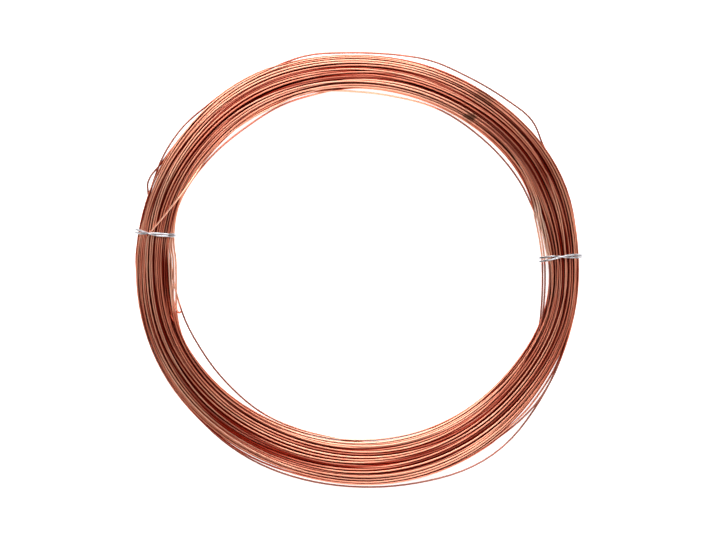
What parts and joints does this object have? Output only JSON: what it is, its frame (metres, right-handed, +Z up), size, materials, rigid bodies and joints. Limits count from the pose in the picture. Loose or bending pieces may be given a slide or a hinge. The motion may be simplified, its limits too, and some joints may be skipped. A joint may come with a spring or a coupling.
{
  "type": "copper wire coil",
  "caption": "Loose hand-sized coil of bare copper wire lying flat, tied at two opposite places with thin galvanised wire.",
  "frame": {"origin": "centre of the coil's bore, on the plane that the coil lies on", "axes": "+Z up along the bore's axis; +X towards the right-hand tie, which lies 3.7 degrees round from it"},
  "size_m": [0.1908, 0.1904, 0.0086],
  "materials": {
    "copper": "bare drawn copper wire, bright with a light tarnish",
    "galvanised_wire": "thin galvanised steel wire, satin"
  },
  "bodies": {
    "root": {"copper_wire_coil": "copper", "tie_wire_left": "galvanised_wire", "tie_wire_right": "galvanised_wire"}
  },
  "joints": []
}
